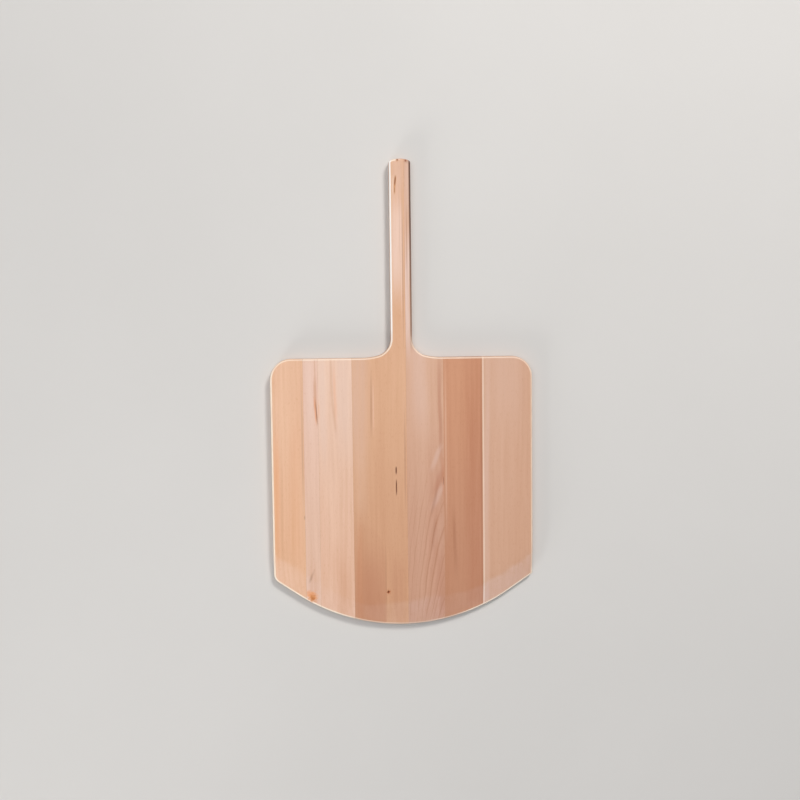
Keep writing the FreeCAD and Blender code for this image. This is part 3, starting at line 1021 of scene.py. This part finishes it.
    def paint(self):
        late, lines = self.growth_rings()
        colour = self.grain_colour(late, lines)
        if self.stave == "handle_left_stave":
            colour = self.heartwood(colour)
        colour = self.marks(colour)
        colour = self.sanded_taper(colour)
        colour = self.sanded_and_lit_arrises(colour)

        # End grain drinks more finish, so it is darker.
        ends = self.remap(self.distance(self.facing_y, 0.0), 0.45, 0.95)
        soaked = tinted(self.look["front"], *END_GRAIN_TINT)
        colour = self.mix(self.multiply(ends, 0.45), colour, soaked)
        for details in KNOTS.get(self.stave, []):
            colour = self.knot(colour, *details)

        self.feed(self.surface.inputs["Base Color"], colour)
        roughness = self.add(
            0.50,
            self.off_centre(self.fibre, 0.16),
            self.multiply(self.pores, 0.10),
            self.multiply(self.taper, 0.08),
            self.multiply(ends, 0.15),
        )
        self.feed(self.surface.inputs["Roughness"], roughness)
        self.surface.inputs["Specular IOR Level"].default_value = 0.4
        relief = self.add(
            self.off_centre(self.fibre, 0.6),
            self.off_centre(self.line, 0.5),
            self.multiply(self.pores, -0.7),
            self.multiply(late, 0.25),
        )
        self.bump(relief, 0.5, 0.12 * MM)
        return self.material


def glue():
    """Dried glue in the seams: a thin, amber-brown, slightly glossy line."""
    shader = Shader("dried_glue")
    place = shader.node("ShaderNodeTexCoord", {}).outputs["Object"]
    squeeze = shader.texture(place, GLUE_SQUEEZE)
    beads = shader.texture(place, GLUE_BEADS)
    colour = shader.mix(shader.remap(squeeze, 0.3, 0.7), srgb(176, 126, 92), srgb(206, 160, 126))
    shader.feed(shader.surface.inputs["Base Color"], colour)
    shader.feed(shader.surface.inputs["Roughness"], shader.remap(beads, 0.2, 0.8, 0.35, 0.55))
    shader.bump(beads, 0.4, 0.1 * MM)
    return shader.material


# ---------------------------------------------------------------- pieces

def make_pieces():
    board = Board()
    spans = stave_spans()
    for stave, (left, right) in zip(STAVES, spans):
        piece = board.slice(stave + "_wood", left, right)
        piece.data.materials.append(Wood(stave).paint())
        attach(piece, "root")
        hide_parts(stave)
    dried = glue()
    for glue_line, before, after in zip(GLUE_LINES, spans, spans[1:]):
        piece = board.slice(glue_line + "_film", before[1], after[0])
        piece.data.materials.append(dried)
        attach(piece, "root")
        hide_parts(glue_line)


# ---------------------------------------------------------------- studio

FLOOR_REACH = 16.0

CAMERA_PLACE = (-0.0877, 0.1031, 1.515)
CAMERA_TURN = (-4.13, -3.28, -0.68)
CAMERA_LENS = 50
CAMERA_SENSOR = 36

# Disks of light: place, what each is aimed at, width across, watts, colour, and the angle of its
# beam in degrees.
LIGHTS = {
    "key": ((1.45, 2.85, 2.95), (0, 0, 0), 1.1, 121, (1.0, 0.975, 0.95), 180),
    "overhead": ((-0.8, 1.2, 5.5), (0, 0, 0), 5.5, 144, (0.93, 0.96, 1.0), 180),
    "edge": ((-1.4, -1.9, 0.55), (-0.08, 0, 0), 0.9, 5.2, (1.0, 0.99, 0.98), 80),
}
AIR_COLOUR = (0.95, 0.97, 1.0, 1.0)
AIR_STRENGTH = 0.202


def make_floor():
    far = FLOOR_REACH
    mesh = bpy.data.meshes.new("floor")
    corners = [(-far, -far, 0), (far, -far, 0), (far, far, 0), (-far, far, 0)]
    mesh.from_pydata(corners, [], [(0, 1, 2, 3)])
    floor = bpy.data.objects.new("floor", mesh)
    bpy.context.scene.collection.objects.link(floor)
    shader = Shader("floor")
    place = shader.node("ShaderNodeTexCoord", {}).outputs["Object"]
    clouds = shader.texture(place, FLOOR_CLOUDS)
    colour = shader.mix(clouds, srgb(206, 203, 199), srgb(214, 211, 207))
    shader.feed(shader.surface.inputs["Base Color"], colour)
    shader.surface.inputs["Roughness"].default_value = 0.8
    mesh.materials.append(shader.material)


def make_light(name, place, target, size, power, colour, beam):
    data = bpy.data.lights.new(name, "AREA")
    data.shape = "DISK"
    data.size = size
    data.energy = power
    data.color = colour
    data.spread = math.radians(beam)
    light = bpy.data.objects.new(name, data)
    bpy.context.scene.collection.objects.link(light)
    light.location = place
    light.rotation_euler = (Vector(target) - Vector(place)).to_track_quat("-Z", "Y").to_euler()


def make_camera():
    """Almost straight above, leaning a little towards the handle and the left."""
    data = bpy.data.cameras.new("camera")
    data.lens = CAMERA_LENS
    data.sensor_width = CAMERA_SENSOR
    camera = bpy.data.objects.new("camera", data)
    bpy.context.scene.collection.objects.link(camera)
    camera.location = CAMERA_PLACE
    camera.rotation_euler = [math.radians(angle) for angle in CAMERA_TURN]
    bpy.context.scene.camera = camera


def make_studio():
    make_floor()
    for name, details in LIGHTS.items():
        make_light(name, *details)
    world = bpy.data.worlds.new("studio")
    world.use_nodes = True
    background = world.node_tree.nodes["Background"]
    background.inputs["Color"].default_value = AIR_COLOUR
    background.inputs["Strength"].default_value = AIR_STRENGTH
    bpy.context.scene.world = world
    bpy.context.scene.view_settings.view_transform = "Standard"


make_camera()
make_studio()
make_pieces()
